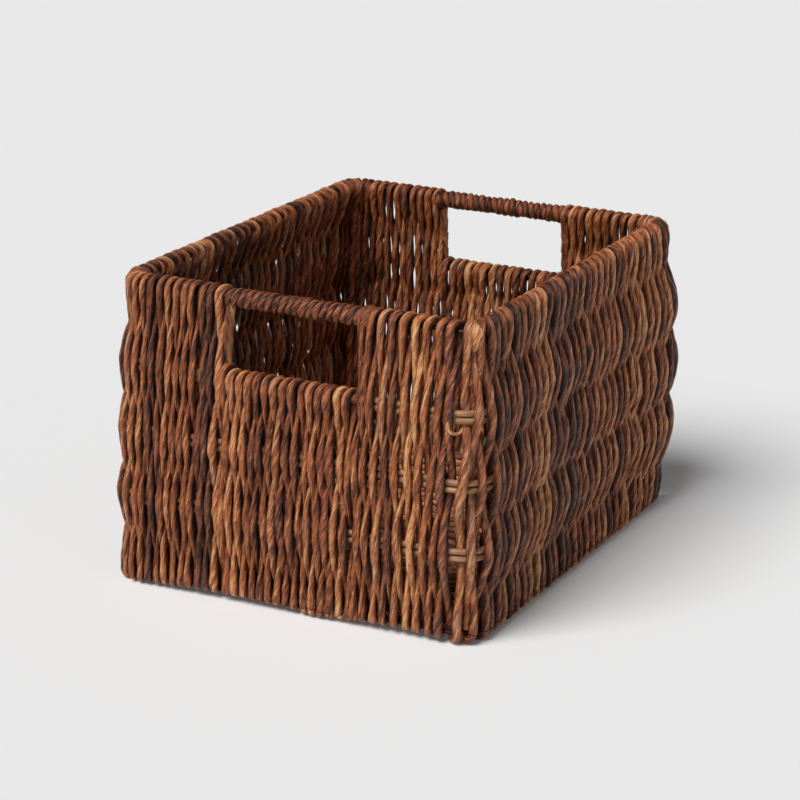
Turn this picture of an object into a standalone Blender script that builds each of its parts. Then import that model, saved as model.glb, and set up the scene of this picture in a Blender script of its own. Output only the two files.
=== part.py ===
"""Open wicker crate basket: plant-fibre cord woven over rattan reeds on a welded wire frame.

Metres, +Z up. The origin is on the floor, under the middle of the basket. The two short
walls, with the hand holes, face -Y (front) and +Y (back). The long walls face -X and +X.
"""

import math

import bmesh
import bpy
from mathutils import Matrix, Vector

MM = 0.001

# Overall size, on the centre line of the wire ring in the rim
WIDTH = 264.0 * MM
DEPTH = 350.0 * MM
HEIGHT = 228.0 * MM
CORNER_RADIUS = 12.0 * MM

# How much further out the base ring lies than the rim ring, on every side
FOOT_SPREAD = 3.5 * MM

# Stock that the basket is made of
WIRE_RADIUS = 2.0 * MM
REED_RADIUS = 2.4 * MM
CORD_DIAMETER = 6.2 * MM
POST_WRAP = 0.7 * MM
SIDE_WRAP = 1.7 * MM
GRIP_RADIUS = 6.0 * MM
CLEARANCE = 0.3 * MM

# Distance between the three reed pairs in the walls
REED_SPACING = 48.5 * MM

# Half of the wall's thickness where the passes of cord cross each other
CROSSING_HALF = 3.6 * MM
FOOT_HALF = 5.0 * MM

# Hand holes
HAND_HALF_WIDTH = 48.0 * MM
HAND_HEIGHT = 42.6 * MM
HAND_BEND_RADIUS = 8.0 * MM

# Base
BASE_FLOOR_GAP = 1.6 * MM
BASE_PAIRS = 5
BASE_EDGE_GAP = 32.0 * MM

# Facets
ARC_STEPS = 3
WAVE_STEPS = 6
REED_BUTT_GAP = 1.0 * MM

# Sizes that follow from those above
RIM_HALF = WIRE_RADIUS + CORD_DIAMETER
RIM_HEIGHT = HEIGHT - RIM_HALF
FOOT_HEIGHT = RIM_HALF
LEVEL_HALF = REED_RADIUS + CORD_DIAMETER
REED_SHIFT = REED_RADIUS + CLEARANCE / 2
POST_RADIUS = WIRE_RADIUS + CLEARANCE + POST_WRAP
SIDE_RADIUS = WIRE_RADIUS + CLEARANCE + SIDE_WRAP
REED_STANDOFF = POST_RADIUS + CLEARANCE + REED_RADIUS
HANDLE_LEVEL = RIM_HEIGHT - GRIP_RADIUS - HAND_HEIGHT - RIM_HALF
REED_LEVELS = tuple(HANDLE_LEVEL - k * REED_SPACING for k in (2, 1, 0))
HANDLE_WIRE_X = HAND_HALF_WIDTH + SIDE_RADIUS
WEAVE_EDGE_X = HANDLE_WIRE_X + SIDE_RADIUS + CLEARANCE
L1_REED_END_X = HANDLE_WIRE_X + WIRE_RADIUS + 3 * CLEARANCE
BASE_INSET = RIM_HALF + CLEARANCE
BASE_HEIGHT = LEVEL_HALF + BASE_FLOOR_GAP
BASE_PITCH = (WIDTH - 2 * BASE_EDGE_GAP) / (BASE_PAIRS - 1)

# Colours as linear RGB, with roughness and metallic
FINISHES = {
    "steel_wire": ((0.045, 0.040, 0.038), 0.45, 0.9),
    "rattan_reed": ((0.47, 0.27, 0.12), 0.55, 0.0),
    "fibre_cord": ((0.17, 0.066, 0.030), 0.75, 0.0),
    "fibre_wrap": ((0.24, 0.105, 0.048), 0.7, 0.0),
}


def clear_scene():
    """Remove whatever the startup file holds."""
    for obj in list(bpy.data.objects):
        bpy.data.objects.remove(obj, do_unlink=True)
    for collection in list(bpy.data.collections):
        bpy.data.collections.remove(collection)


def new_collection(name):
    """A collection linked to the scene."""
    collection = bpy.data.collections.new(name)
    bpy.context.scene.collection.children.link(collection)
    return collection


def new_material(name, finish):
    """A Principled material for one part."""
    colour, roughness, metallic = FINISHES[finish]
    material = bpy.data.materials.new(name)
    material.use_nodes = True
    shader = material.node_tree.nodes["Principled BSDF"]
    shader.inputs["Base Color"].default_value = (*colour, 1.0)
    shader.inputs["Roughness"].default_value = roughness
    shader.inputs["Metallic"].default_value = metallic
    material.diffuse_color = (*colour, 1.0)
    return material


# ---------------------------------------------------------------- outlines and routes


def corner_arc(corner, offset, steps=2 * ARC_STEPS, first=0):
    """Bend points of one rounded corner, on a line that is offset outwards from the rings.

    Corner 0 is front right, then 1, 2 and 3 go round anticlockwise as seen from above. The
    points are the corners of a polygon whose sides touch the arc, so that each wall's end
    face at 45 degrees is square to its last side.
    """
    sign_x = (1, 1, -1, -1)[corner]
    sign_y = (-1, 1, 1, -1)[corner]
    centre = Vector((sign_x * (WIDTH / 2 - CORNER_RADIUS), sign_y * (DEPTH / 2 - CORNER_RADIUS)))
    step = math.radians(45) / ARC_STEPS
    radius = (CORNER_RADIUS + offset) / math.cos(step / 2)
    start = math.radians(-90 + 90 * corner)
    angles = [start + (first + k + 0.5) * step for k in range(steps)]
    return [centre + radius * Vector((math.cos(a), math.sin(a))) for a in angles]


def corner_middle(corner, offset=0.0, along=0.0):
    """The point halfway round a corner, moved along the ring by a small distance."""
    sign_x = (1, 1, -1, -1)[corner]
    sign_y = (-1, 1, 1, -1)[corner]
    centre = Vector((sign_x * (WIDTH / 2 - CORNER_RADIUS), sign_y * (DEPTH / 2 - CORNER_RADIUS)))
    angle = math.radians(-45 + 90 * corner)
    outward = Vector((math.cos(angle), math.sin(angle)))
    tangent = Vector((-math.sin(angle), math.cos(angle)))
    return centre + outward * (CORNER_RADIUS + offset) + tangent * along


def ring_route(offset):
    """Bend points of the whole ring, anticlockwise from the front right corner."""
    return [point for corner in range(4) for point in corner_arc(corner, offset)]


def wall_route(wall):
    """Centre line of one wall, from the middle of one corner to the middle of the next.

    Wall 0 is the right one, then 1 back, 2 left and 3 front, each starting at the corner of
    the same number.
    """
    after = (wall + 1) % 4
    return [
        corner_middle(wall, along=CLEARANCE / 2),
        *corner_arc(wall, 0.0, ARC_STEPS, ARC_STEPS),
        *corner_arc(after, 0.0, ARC_STEPS, 0),
        corner_middle(after, along=-CLEARANCE / 2),
    ]


def frame_offset(height):
    """How far the frame's posts stand outside the rim ring at a height."""
    return FOOT_SPREAD * (RIM_HEIGHT - height) / (RIM_HEIGHT - FOOT_HEIGHT)


def reed_offset(height):
    """How far the reeds, which pass outside the posts, stand outside the rim ring."""
    return frame_offset(height) + REED_STANDOFF


def handle_offset(height):
    """How far a handle frame stands outside the rim ring: in line with the reeds at its foot."""
    return reed_offset(HANDLE_LEVEL) * (RIM_HEIGHT - height) / (RIM_HEIGHT - HANDLE_LEVEL)


def wave(stations, side):
    """One face of a woven panel, as (place, distance) points between its rods.

    Each station is (place, middle, half): where a rod lies, how far the panel's middle is
    from the datum there, and half of the panel's thickness over the rod. Between two rods
    the panel thins to the crossing of the cords.
    """
    points = []
    for (place_a, mid_a, half_a), (place_b, mid_b, half_b) in zip(stations, stations[1:]):
        for k in range(WAVE_STEPS):
            t = k / WAVE_STEPS
            swell = 0.5 + 0.5 * math.cos(2 * math.pi * t)
            rod_half = half_a + (half_b - half_a) * t
            half = CROSSING_HALF + (rod_half - CROSSING_HALF) * swell
            points.append((place_a + (place_b - place_a) * t, mid_a + (mid_b - mid_a) * t + side * half))
    place, mid, half = stations[-1]
    points.append((place, mid + side * half))
    return points


def wall_stations():
    """Rods of a wall from the foot ring to the rim ring."""
    levels = [(height, reed_offset(height), LEVEL_HALF) for height in REED_LEVELS]
    return [(FOOT_HEIGHT, FOOT_SPREAD, RIM_HALF), *levels, (RIM_HEIGHT, 0.0, RIM_HALF)]


def wall_profile():
    """Closed outline of a wall as (outward, up) points, anticlockwise."""
    outer = [(distance, height) for height, distance in wave(wall_stations(), 1)]
    inner = [(distance, height) for height, distance in wave(wall_stations(), -1)]
    arc = [math.radians(30 * k) for k in range(1, 6)]
    top = [(RIM_HALF * math.cos(a), RIM_HEIGHT + RIM_HALF * math.sin(a)) for a in arc]
    heel = (0.92 * RIM_HALF, 0.5 * FOOT_HEIGHT)
    sole = [(-heel[0], heel[1]), (-FOOT_HALF, 0.0), (FOOT_HALF, 0.0), heel]
    foot = [(FOOT_SPREAD + distance, height) for distance, height in sole]
    return outer + top + inner[::-1] + foot


def base_profile():
    """Closed outline of the base panel as (across, up) points, anticlockwise."""
    middle = (BASE_PAIRS - 1) / 2
    rods = [(BASE_PITCH * (k - middle), BASE_HEIGHT, LEVEL_HALF) for k in range(BASE_PAIRS)]
    edge = WIDTH / 2 + FOOT_SPREAD
    stations = [(-edge, FOOT_HEIGHT, RIM_HALF), *rods, (edge, FOOT_HEIGHT, RIM_HALF)]
    return wave(stations, -1) + wave(stations, 1)[::-1]


def slot_profile(upright):
    """Outline of the channel that holds a pair of reeds, centred on the pair."""
    radius = REED_RADIUS + CLEARANCE
    points = []
    for centre, start in ((REED_SHIFT, 0), (-REED_SHIFT, 180)):
        for k in range(5):
            angle = math.radians(start + 45 * k)
            points.append((radius * math.cos(angle), centre + radius * math.sin(angle)))
    return points if upright else [(y, -x) for x, y in points]


# ---------------------------------------------------------------- shapes


def to_mesh_object(curve_object, name):
    """Replace a curve object by a mesh object with welded caps and outward faces."""
    graph = bpy.context.evaluated_depsgraph_get()
    mesh = bpy.data.meshes.new_from_object(curve_object.evaluated_get(graph))
    matrix = curve_object.matrix_world.copy()
    bpy.data.objects.remove(curve_object, do_unlink=True)
    shape = bmesh.new()
    shape.from_mesh(mesh)
    bmesh.ops.remove_doubles(shape, verts=shape.verts, dist=0.001 * MM)
    bmesh.ops.recalc_face_normals(shape, faces=shape.faces)
    shape.to_mesh(mesh)
    shape.free()
    mesh.name = name
    obj = bpy.data.objects.new(name, mesh)
    obj.matrix_world = matrix
    return obj


def new_curve(name, points, cyclic, flat=False):
    """A straight-sided curve through 3D points, linked to the scene for evaluation."""
    data = bpy.data.curves.new(name, "CURVE")
    data.dimensions = "2D" if flat else "3D"
    spline = data.splines.new("POLY")
    spline.points.add(len(points) - 1)
    for target, point in zip(spline.points, points):
        target.co = (*point, 1.0)
    spline.use_cyclic_u = cyclic
    obj = bpy.data.objects.new(name, data)
    bpy.context.scene.collection.objects.link(obj)
    return obj


def rod(name, points, radius, cyclic=False):
    """A round rod along 3D points, as a mesh object."""
    curve = new_curve(name, points, cyclic)
    curve.data.twist_mode = "MINIMUM"
    curve.data.bevel_depth = radius
    curve.data.bevel_resolution = 2
    curve.data.use_fill_caps = True
    bpy.context.view_layer.update()
    return to_mesh_object(curve, name)


def sweep(name, points, profile, cyclic=False):
    """A closed (outward, up) profile carried along an anticlockwise level route."""
    section = new_curve(name + "_section", [(x, y, 0.0) for x, y in profile], True, flat=True)
    curve = new_curve(name, points, cyclic)
    curve.data.twist_mode = "Z_UP"
    curve.data.bevel_mode = "OBJECT"
    curve.data.bevel_object = section
    curve.data.use_fill_caps = True
    bpy.context.view_layer.update()
    obj = to_mesh_object(curve, name)
    bpy.data.objects.remove(section, do_unlink=True)
    return obj


def prism(name, outline, thickness):
    """A flat outline in XY, thickened by the same amount above and below, as a mesh object."""
    curve = new_curve(name, [(x, y, 0.0) for x, y in outline], True, flat=True)
    curve.data.fill_mode = "BOTH"
    curve.data.extrude = thickness / 2
    bpy.context.view_layer.update()
    return to_mesh_object(curve, name)


def sleeve(name, start, end, inner, outer, bevel):
    """A tube with chamfered outer ends between two points, turned from a profile."""
    length = (end - start).length
    profile = [
        (inner, 0.0, 0.0),
        (inner, 0.0, length),
        (outer - bevel, 0.0, length),
        (outer, 0.0, length - bevel),
        (outer, 0.0, bevel),
        (outer - bevel, 0.0, 0.0),
    ]
    mesh = bpy.data.meshes.new(name)
    edges = [(k, (k + 1) % len(profile)) for k in range(len(profile))]
    mesh.from_pydata(profile, edges, [])
    obj = bpy.data.objects.new(name, mesh)
    turn = obj.modifiers.new("Turn", "SCREW")
    turn.steps = turn.render_steps = 16
    turn.use_merge_vertices = True
    turn.merge_threshold = 0.01 * MM
    turn.use_normal_calculate = True
    direction = (end - start).normalized()
    obj.matrix_world = Matrix.Translation(start) @ direction.to_track_quat("Z", "Y").to_matrix().to_4x4()
    return obj


def finish_part(obj, finish, collection):
    """Link a part, give it its own material and smooth shading."""
    collection.objects.link(obj)
    obj.data.materials.clear()
    obj.data.materials.append(new_material(obj.name, finish))
    obj.data.shade_smooth()
    obj.data.set_sharp_from_angle(angle=math.radians(50))
    return obj


def finish_cutter(obj, collection):
    """Link a cutter so that it shows only as wires and is left out of the model."""
    collection.objects.link(obj)
    obj.hide_render = True
    obj.display_type = "WIRE"
    return obj


def cut(obj, cutters, operation="DIFFERENCE"):
    """Cut an object by each cutter in turn."""
    for cutter in cutters:
        modifier = obj.modifiers.new(cutter.name, "BOOLEAN")
        modifier.operation = operation
        modifier.solver = "EXACT"
        modifier.object = cutter


# ---------------------------------------------------------------- routes of the rods


def at_height(points, height):
    """Level points lifted to a height."""
    return [(point[0], point[1], height) for point in points]


def reed_ring_route(offset):
    """A reed that goes round the whole basket, butted in the middle of the back wall."""
    ring = ring_route(offset)
    back_left_start = len(ring) // 2
    ends_y = DEPTH / 2 + offset
    return [
        (-REED_BUTT_GAP / 2, ends_y),
        *ring[back_left_start:],
        *ring[:back_left_start],
        (REED_BUTT_GAP / 2, ends_y),
    ]


def side_reed_route(side, end_x):
    """A reed at the handles' level round one long side (+1 right, -1 left)."""
    corners = (0, 1) if side > 0 else (2, 3)
    offset = reed_offset(HANDLE_LEVEL)
    arcs = [point for corner in corners for point in corner_arc(corner, offset)]
    y = side * (DEPTH / 2 + offset)
    return [(side * end_x, -y), *arcs, (side * end_x, y)]


def handle_frame_route(face, extra):
    """The U of a handle frame on the front (-1) or back (+1), with its tops lengthened."""
    top = RIM_HEIGHT - WIRE_RADIUS - CLEARANCE + extra
    bend_z = HANDLE_LEVEL + HAND_BEND_RADIUS
    bend_x = HANDLE_WIRE_X - HAND_BEND_RADIUS
    half = [(HANDLE_WIRE_X, top)]
    for k in range(4):
        angle = math.radians(30 * k)
        half.append((bend_x + HAND_BEND_RADIUS * math.cos(angle), bend_z - HAND_BEND_RADIUS * math.sin(angle)))
    outline = half + [(-x, z) for x, z in half[::-1]]
    return [(x, face * (DEPTH / 2 + handle_offset(z)), z) for x, z in outline]


def post_route(corner, low, high):
    """The two ends of a corner post, which leans out towards the base ring."""
    return [(*corner_middle(corner, frame_offset(z)), z) for z in (low, high)]


def base_reed_places():
    """(name, x) of each lengthwise reed in the base, left to right."""
    middle = (BASE_PAIRS - 1) / 2
    for pair in range(BASE_PAIRS):
        for letter, shift in (("a", -REED_SHIFT), ("b", REED_SHIFT)):
            yield f"base_reed_{pair + 1}{letter}", BASE_PITCH * (pair - middle) + shift


# ---------------------------------------------------------------- parts of the basket


def build_wire_frame(parts):
    """The two rings, the four corner posts and the two handle frames."""
    rings = (("top_rim_wire", RIM_HEIGHT), ("base_rim_wire", FOOT_HEIGHT))
    for name, height in rings:
        route = at_height(ring_route(frame_offset(height)), height)
        finish_part(rod(name, route, WIRE_RADIUS, True), "steel_wire", parts)
    low = FOOT_HEIGHT + WIRE_RADIUS + CLEARANCE
    high = RIM_HEIGHT - WIRE_RADIUS - CLEARANCE
    for corner, place in enumerate(("front_right", "back_right", "back_left", "front_left")):
        post = rod(f"corner_post_{place}", post_route(corner, low, high), WIRE_RADIUS)
        finish_part(post, "steel_wire", parts)
    for name, face in (("front", -1), ("back", 1)):
        frame = rod(f"handle_frame_{name}", handle_frame_route(face, 0.0), WIRE_RADIUS)
        finish_part(frame, "steel_wire", parts)


def build_wall_reeds(parts):
    """The pairs of reeds: whole rings at the two lower levels, side runs at the handles' level."""
    for level, height in zip(("low", "middle"), REED_LEVELS):
        for row, shift in (("upper", REED_SHIFT), ("lower", -REED_SHIFT)):
            route = at_height(reed_ring_route(reed_offset(height)), height + shift)
            finish_part(rod(f"reed_{level}_{row}", route, REED_RADIUS), "rattan_reed", parts)
    for place, side in (("right", 1), ("left", -1)):
        for row, shift in (("upper", REED_SHIFT), ("lower", -REED_SHIFT)):
            route = at_height(side_reed_route(side, L1_REED_END_X), HANDLE_LEVEL + shift)
            finish_part(rod(f"reed_high_{place}_{row}", route, REED_RADIUS), "rattan_reed", parts)


def build_base_reeds(parts):
    """Straight reeds in pairs that run lengthwise in the base."""
    end_y = DEPTH / 2 + FOOT_SPREAD - BASE_INSET - CLEARANCE
    for name, x in base_reed_places():
        reed = rod(name, [(x, -end_y, BASE_HEIGHT), (x, end_y, BASE_HEIGHT)], REED_RADIUS)
        finish_part(reed, "rattan_reed", parts)


def build_wall_cutters(cutters):
    """Channels through the walls for the wires, the reeds and the posts."""
    found = {}
    rod_cut = WIRE_RADIUS + CLEARANCE
    for name, height in (("rim_channel", RIM_HEIGHT), ("foot_channel", FOOT_HEIGHT)):
        found[name] = rod(name, at_height(ring_route(frame_offset(height)), height), rod_cut, True)
    slot = slot_profile(True)
    for name, height in zip(("low_slot", "middle_slot"), REED_LEVELS):
        found[name] = sweep(name, at_height(ring_route(reed_offset(height)), height), slot, True)
    for name, side in (("right_slot", 1), ("left_slot", -1)):
        route = side_reed_route(side, L1_REED_END_X - CLEARANCE)
        found[name] = sweep(name, at_height(route, HANDLE_LEVEL), slot)
    for name, face in (("front_frame_channel", -1), ("back_frame_channel", 1)):
        found[name] = rod(name, handle_frame_route(face, WIRE_RADIUS), rod_cut)
    for corner in range(4):
        ends = post_route(corner, FOOT_HEIGHT + WIRE_RADIUS, RIM_HEIGHT - WIRE_RADIUS)
        found[f"post_channel_{corner}"] = rod(f"post_channel_{corner}", ends, POST_RADIUS + CLEARANCE)
    for cutter in found.values():
        finish_cutter(cutter, cutters)
    return found


def opening_cutter(name, face, cutters):
    """The hand hole with the rim over it, leaving a rounded top on the weave below."""
    reach = 4 * RIM_HALF
    crown = LEVEL_HALF + CLEARANCE
    middle = reed_offset(HANDLE_LEVEL)
    outline = [(middle - reach, HEIGHT + reach), (middle - reach, HANDLE_LEVEL)]
    for k in range(9):
        angle = math.radians(180 - 22.5 * k)
        outline.append((middle + crown * math.cos(angle), HANDLE_LEVEL + RIM_HALF * math.sin(angle)))
    outline += [(middle + reach, HANDLE_LEVEL), (middle + reach, HEIGHT + reach)]
    cutter = prism(name, outline, 2 * WEAVE_EDGE_X)
    # The outline's x is outward and its y is up, and its thickness runs along the wall.
    axes = Matrix(((0, 0, face, 0), (face, 0, 0, face * DEPTH / 2), (0, 1, 0, 0), (0, 0, 0, 1)))
    cutter.matrix_world = axes
    return finish_cutter(cutter, cutters)


def build_walls(parts, cutters):
    """The four woven walls, each cut for what runs through it."""
    channels = build_wall_cutters(cutters)
    shared = [channels[name] for name in ("rim_channel", "foot_channel", "low_slot", "middle_slot")]
    own = {
        "right": ["right_slot"],
        "back": ["right_slot", "left_slot"],
        "left": ["left_slot"],
        "front": ["right_slot", "left_slot"],
    }
    for wall, place in enumerate(("right", "back", "left", "front")):
        weave = sweep(f"{place}_wall_weave", at_height(wall_route(wall), 0.0), wall_profile())
        finish_part(weave, "fibre_cord", parts)
        posts = [channels[f"post_channel_{corner}"] for corner in (wall, (wall + 1) % 4)]
        cut(weave, shared + [channels[name] for name in own[place]] + posts)
        if place in ("front", "back"):
            opening = opening_cutter(f"{place}_opening", 1 if place == "back" else -1, cutters)
            cut(weave, [opening, channels[f"{place}_frame_channel"]])
    return channels


def build_base(parts, cutters):
    """The woven base panel, with channels for its reeds."""
    half_depth = DEPTH / 2 + FOOT_SPREAD
    route = [(0.0, half_depth, 0.0), (0.0, -half_depth, 0.0)]
    panel = sweep("base_weave", route, base_profile())
    edge = [tuple(point) for point in ring_route(FOOT_SPREAD - BASE_INSET)]
    outline = prism("base_outline", edge, 8 * RIM_HALF)
    finish_cutter(outline, cutters)
    cut(panel, [outline], "INTERSECT")
    slot = slot_profile(False)
    middle = (BASE_PAIRS - 1) / 2
    for pair in range(BASE_PAIRS):
        x = BASE_PITCH * (pair - middle)
        ends = [(x, half_depth, BASE_HEIGHT), (x, -half_depth, BASE_HEIGHT)]
        cut(panel, [finish_cutter(sweep(f"base_slot_{pair + 1}", ends, slot), cutters)])
    finish_part(panel, "fibre_cord", parts)


def build_wraps(parts, channels):
    """The wrapped grips, the wrapped sides of the hand holes and the wrapped corner posts."""
    bore = WIRE_RADIUS + CLEARANCE
    for place, face in (("front", -1), ("back", 1)):
        y = face * DEPTH / 2
        reach = WEAVE_EDGE_X - CLEARANCE
        ends = Vector((-reach, y, RIM_HEIGHT)), Vector((reach, y, RIM_HEIGHT))
        grip = sleeve(f"handle_grip_{place}", *ends, bore, GRIP_RADIUS, 1.5 * MM)
        cut(grip, [channels[f"{place}_frame_channel"]])
        finish_part(grip, "fibre_wrap", parts)
        low = HANDLE_LEVEL + RIM_HALF + 2 * CLEARANCE
        high = RIM_HEIGHT - GRIP_RADIUS - 3 * CLEARANCE
        for side, x in (("left", -HANDLE_WIRE_X), ("right", HANDLE_WIRE_X)):
            ends = [Vector((x, face * (DEPTH / 2 + handle_offset(z)), z)) for z in (low, high)]
            wrap = sleeve(f"handle_side_wrap_{place}_{side}", *ends, bore, SIDE_RADIUS, 0.5 * MM)
            finish_part(wrap, "fibre_wrap", parts)
    for corner, place in enumerate(("front_right", "back_right", "back_left", "front_left")):
        low = FOOT_HEIGHT + WIRE_RADIUS + 3 * CLEARANCE
        high = RIM_HEIGHT - WIRE_RADIUS - 3 * CLEARANCE
        ends = [Vector(point) for point in post_route(corner, low, high)]
        wrap = sleeve(f"post_wrap_{place}", *ends, bore, POST_RADIUS, 0.2 * MM)
        finish_part(wrap, "fibre_wrap", parts)


def main():
    """Build the basket."""
    clear_scene()
    bpy.context.scene.unit_settings.system = "METRIC"
    parts = new_collection("wicker_crate_basket")
    cutters = new_collection("cutters")
    build_wire_frame(parts)
    build_wall_reeds(parts)
    build_base_reeds(parts)
    channels = build_walls(parts, cutters)
    build_base(parts, cutters)
    build_wraps(parts, channels)


main()
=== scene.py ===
"""Open wicker crate basket: cords, reeds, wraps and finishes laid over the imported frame."""

import logging
import math
from dataclasses import dataclass, field
from enum import Enum
from typing import Iterable, Sequence

import bpy
import numpy as np
from mathutils import Matrix, Vector


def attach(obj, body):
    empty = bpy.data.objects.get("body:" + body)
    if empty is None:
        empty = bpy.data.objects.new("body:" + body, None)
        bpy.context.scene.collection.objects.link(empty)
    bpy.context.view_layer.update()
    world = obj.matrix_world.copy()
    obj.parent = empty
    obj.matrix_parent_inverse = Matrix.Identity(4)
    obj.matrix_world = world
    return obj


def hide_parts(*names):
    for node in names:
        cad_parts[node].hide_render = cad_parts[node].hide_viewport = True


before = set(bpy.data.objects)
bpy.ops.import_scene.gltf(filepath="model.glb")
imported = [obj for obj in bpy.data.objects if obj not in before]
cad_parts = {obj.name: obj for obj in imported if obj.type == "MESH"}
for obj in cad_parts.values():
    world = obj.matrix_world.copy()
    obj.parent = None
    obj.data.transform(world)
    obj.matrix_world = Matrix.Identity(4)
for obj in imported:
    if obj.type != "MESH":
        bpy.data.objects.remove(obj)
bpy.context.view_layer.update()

LOG = logging.getLogger("basket")
MM = 0.001
SEED = 4127
GIRTH_MM = 3.2  # radius that the fibre pattern is wound on


class Wall(Enum):
    """The four walls, anticlockwise from above, with the direction that each faces."""

    RIGHT = 0
    BACK = 1
    LEFT = 2
    FRONT = 3

    @property
    def facing(self) -> float:
        """Direction of the wall's outward normal in radians."""
        return self.value * math.pi / 2


class Pass(Enum):
    """The two passes of a loop of cord: the sign says which side of the rim wire it is on."""

    OUTER_AT_RIM = 1
    INNER_AT_RIM = -1


# ---------------------------------------------------------------- colour and nodes


def srgb(code: str) -> tuple[float, float, float, float]:
    """Turn an sRGB hex colour into linear RGBA.

    Args:
        code: Colour such as "#7D482D".

    Returns:
        Linear red, green, blue and an alpha of 1.
    """
    values = (int(code[k : k + 2], 16) / 255 for k in (1, 3, 5))
    linear = [v / 12.92 if v <= 0.04045 else ((v + 0.055) / 1.055) ** 2.4 for v in values]
    return (*linear, 1.0)


def add_node(
    tree: bpy.types.NodeTree,
    kind: str,
    values: dict[str | int, object] | None = None,
    links: dict[str | int, bpy.types.NodeSocket] | None = None,
    **settings: object,
) -> bpy.types.Node:
    """Add a shader node with its settings, input values and links.

    Args:
        tree: Node tree that gets the node.
        kind: Blender's type name for the node.
        values: Values by input name or number.
        links: Sockets of other nodes by input name or number.
        settings: Attributes of the node itself.

    Returns:
        The new node.
    """
    node = tree.nodes.new(kind)
    for name, value in settings.items():
        setattr(node, name, value)
    for key, value in (values or {}).items():
        node.inputs[key].default_value = value
    for key, socket in (links or {}).items():
        tree.links.new(socket, node.inputs[key])
    return node


def colour_ramp(
    tree: bpy.types.NodeTree, factor: bpy.types.NodeSocket, stops: Sequence[tuple[float, str]]
) -> bpy.types.NodeSocket:
    """Map a factor to colours.

    Args:
        tree: Node tree that gets the ramp.
        factor: Socket that gives the place on the ramp.
        stops: Places on the ramp with their sRGB hex colours.

    Returns:
        The ramp's colour socket.
    """
    node = add_node(tree, "ShaderNodeValToRGB", links={"Fac": factor})
    elements = node.color_ramp.elements
    while len(elements) < len(stops):
        elements.new(0.5)
    for element, (place, code) in zip(elements, stops):
        element.position = place
        element.color = srgb(code)
    return node.outputs["Color"]


def blank_material(name: str) -> tuple[bpy.types.Material, bpy.types.NodeTree, bpy.types.Node]:
    """Make a material that holds only a Principled shader and its output.

    Args:
        name: Name of the material.

    Returns:
        The material, its node tree and the shader node.
    """
    material = bpy.data.materials.new(name)
    material.use_nodes = True
    tree = material.node_tree
    tree.nodes.clear()
    shader = tree.nodes.new("ShaderNodeBsdfPrincipled")
    output = tree.nodes.new("ShaderNodeOutputMaterial")
    tree.links.new(shader.outputs["BSDF"], output.inputs["Surface"])
    return material, tree, shader


def arithmetic(
    tree: bpy.types.NodeTree, operation: str, *terms: bpy.types.NodeSocket | float, clamp: bool = False
) -> bpy.types.NodeSocket:
    """Join sockets and numbers with one Math node.

    Args:
        tree: Node tree that gets the node.
        operation: Blender's name for the operation.
        terms: Sockets or numbers, in the node's order.
        clamp: Whether the result is kept between 0 and 1.

    Returns:
        The node's value socket.
    """
    node = add_node(tree, "ShaderNodeMath", operation=operation, use_clamp=clamp)
    for k, term in enumerate(terms):
        if isinstance(term, bpy.types.NodeSocket):
            tree.links.new(term, node.inputs[k])
        else:
            node.inputs[k].default_value = term
    return node.outputs[0]


def attribute(tree: bpy.types.NodeTree, name: str) -> bpy.types.NodeSocket:
    """Read a vector that the cords' meshes carry.

    Args:
        tree: Node tree that gets the node.
        name: Name of the attribute.

    Returns:
        The attribute's vector socket.
    """
    return add_node(tree, "ShaderNodeAttribute", attribute_name=name).outputs["Vector"]


def noise(
    tree: bpy.types.NodeTree, place: bpy.types.NodeSocket, scale: float, detail: float, roughness: float
) -> bpy.types.NodeSocket:
    """Noise at a place.

    Args:
        tree: Node tree that gets the node.
        place: Coordinates.
        scale: Features per unit of the coordinates.
        detail: Octaves of the noise.
        roughness: Share of the finer octaves.

    Returns:
        The noise, from 0 to 1.
    """
    values = {"Scale": scale, "Detail": detail, "Roughness": roughness}
    return add_node(tree, "ShaderNodeTexNoise", values=values, links={"Vector": place}).outputs["Fac"]


def grain(
    tree: bpy.types.NodeTree, size_mm: tuple[float, float], detail: float, roughness: float = 0.5
) -> bpy.types.NodeSocket:
    """Noise that is stretched along the fibres.

    Args:
        tree: Node tree that gets the nodes.
        size_mm: Width and length of its features.
        detail: Octaves of the noise.
        roughness: Share of the finer octaves.

    Returns:
        The noise, from 0 to 1.
    """
    across, along = 1 / size_mm[0], 1 / size_mm[1]
    mapped = add_node(
        tree,
        "ShaderNodeMapping",
        values={"Scale": (across, across, along)},
        links={"Vector": attribute(tree, "fibre")},
    )
    return noise(tree, mapped.outputs["Vector"], 1.0, detail, roughness)


def blotches(
    tree: bpy.types.NodeTree, size_mm: float, detail: float, roughness: float
) -> bpy.types.NodeSocket:
    """Noise that has no direction.

    Args:
        tree: Node tree that gets the nodes.
        size_mm: Size of its features.
        detail: Octaves of the noise.
        roughness: Share of the finer octaves.

    Returns:
        The noise, from 0 to 1.
    """
    place = add_node(tree, "ShaderNodeTexCoord").outputs["Object"]
    return noise(tree, place, 1000.0 / size_mm, detail, roughness)


def emboss(
    tree: bpy.types.NodeTree,
    shader: bpy.types.Node,
    height: bpy.types.NodeSocket,
    strength: float,
    depth_mm: float,
) -> None:
    """Bump a shader's surface by a height.

    Args:
        tree: Node tree that gets the node.
        shader: Principled shader.
        height: Height, from 0 to 1.
        strength: Strength of the bump.
        depth_mm: Depth that a height of 1 stands for.
    """
    bump = add_node(
        tree,
        "ShaderNodeBump",
        values={"Strength": strength, "Distance": depth_mm * MM},
        links={"Height": height},
    )
    tree.links.new(bump.outputs["Normal"], shader.inputs["Normal"])


# ---------------------------------------------------------------- finishes


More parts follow.
